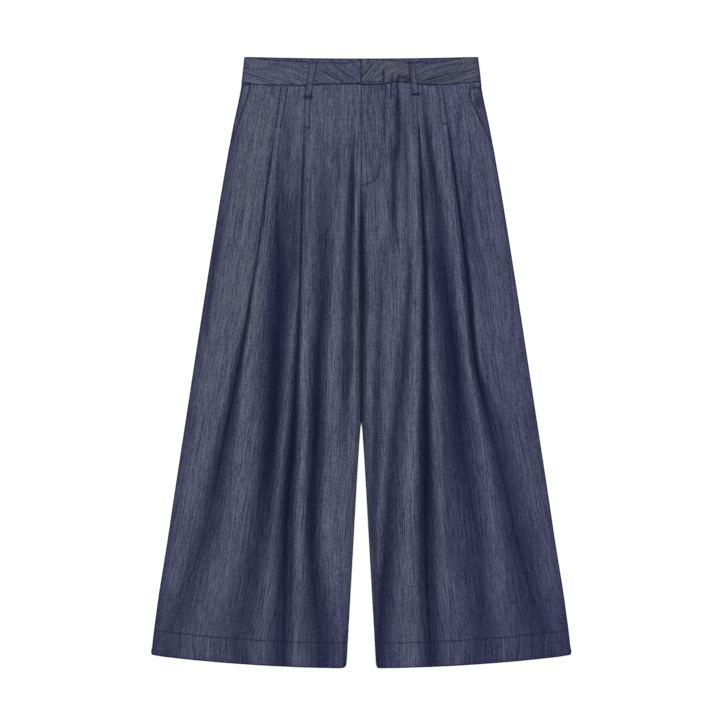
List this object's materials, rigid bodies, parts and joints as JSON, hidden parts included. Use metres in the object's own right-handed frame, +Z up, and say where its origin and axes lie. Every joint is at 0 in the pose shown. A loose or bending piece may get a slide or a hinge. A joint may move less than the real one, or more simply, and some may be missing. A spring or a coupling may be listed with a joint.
{
  "type": "culottes",
  "caption": "Pleated wide-leg culottes of dark blue chambray, laid flat with the front up: waistband with belt loops, slant pockets, fly front and turned-up hems.",
  "frame": {"origin": "on the surface that the garment lies on, under the middle of its outline", "axes": "+Y from the hems to the waist, +X to the wearer's left, +Z up out of the garment's front"},
  "size_m": [0.63, 0.9159, 0.0172],
  "materials": {
    "chambray": "matt dark blue-grey slub chambray with fine lengthwise streaks",
    "zip_tape": "plain navy woven tape with a closed nylon coil",
    "nickel": "satin nickel-plated steel"
  },
  "bodies": {
    "root": {"front_left": "chambray", "front_right": "chambray", "back_left": "chambray", "back_right": "chambray", "pocket_left": "chambray", "pocket_right": "chambray", "belt_loop_front_left": "chambray", "belt_loop_front_right": "chambray", "belt_loop_back_left": "chambray", "belt_loop_back_right": "chambray", "belt_loop_back_centre": "chambray", "waistband_front_left": "chambray", "waistband_front_right": "chambray", "waistband_back": "chambray", "zip": "zip_tape", "waist_bar": "nickel", "waist_hook": "nickel"}
  },
  "joints": []
}
